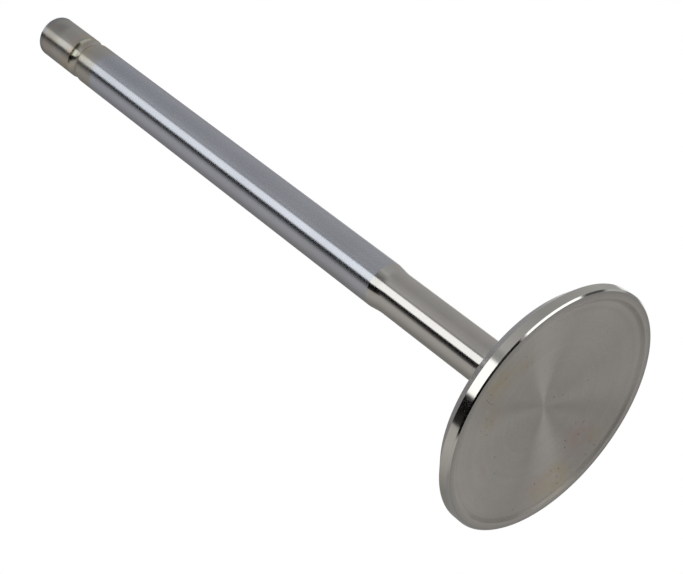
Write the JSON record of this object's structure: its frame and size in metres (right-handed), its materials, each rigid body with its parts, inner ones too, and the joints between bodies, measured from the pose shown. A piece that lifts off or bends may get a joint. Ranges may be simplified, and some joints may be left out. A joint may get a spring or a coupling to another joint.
{
  "type": "engine poppet valve",
  "caption": "Poppet valve of a piston engine: a round head with a conical seat and a shallow dished face, on a long stem with a keeper groove near its tip.",
  "frame": {"origin": "centre of the head's combustion face, in the plane of its flat rim", "axes": "+Z along the stem, from the head to the tip; the valve stands on its head"},
  "size_m": [0.041, 0.041, 0.1334],
  "materials": {
    "steel": "ground and polished steel, stem hard chromed between the undercut and the keeper groove, face turned"
  },
  "bodies": {
    "root": {"valve": "steel"}
  },
  "joints": []
}
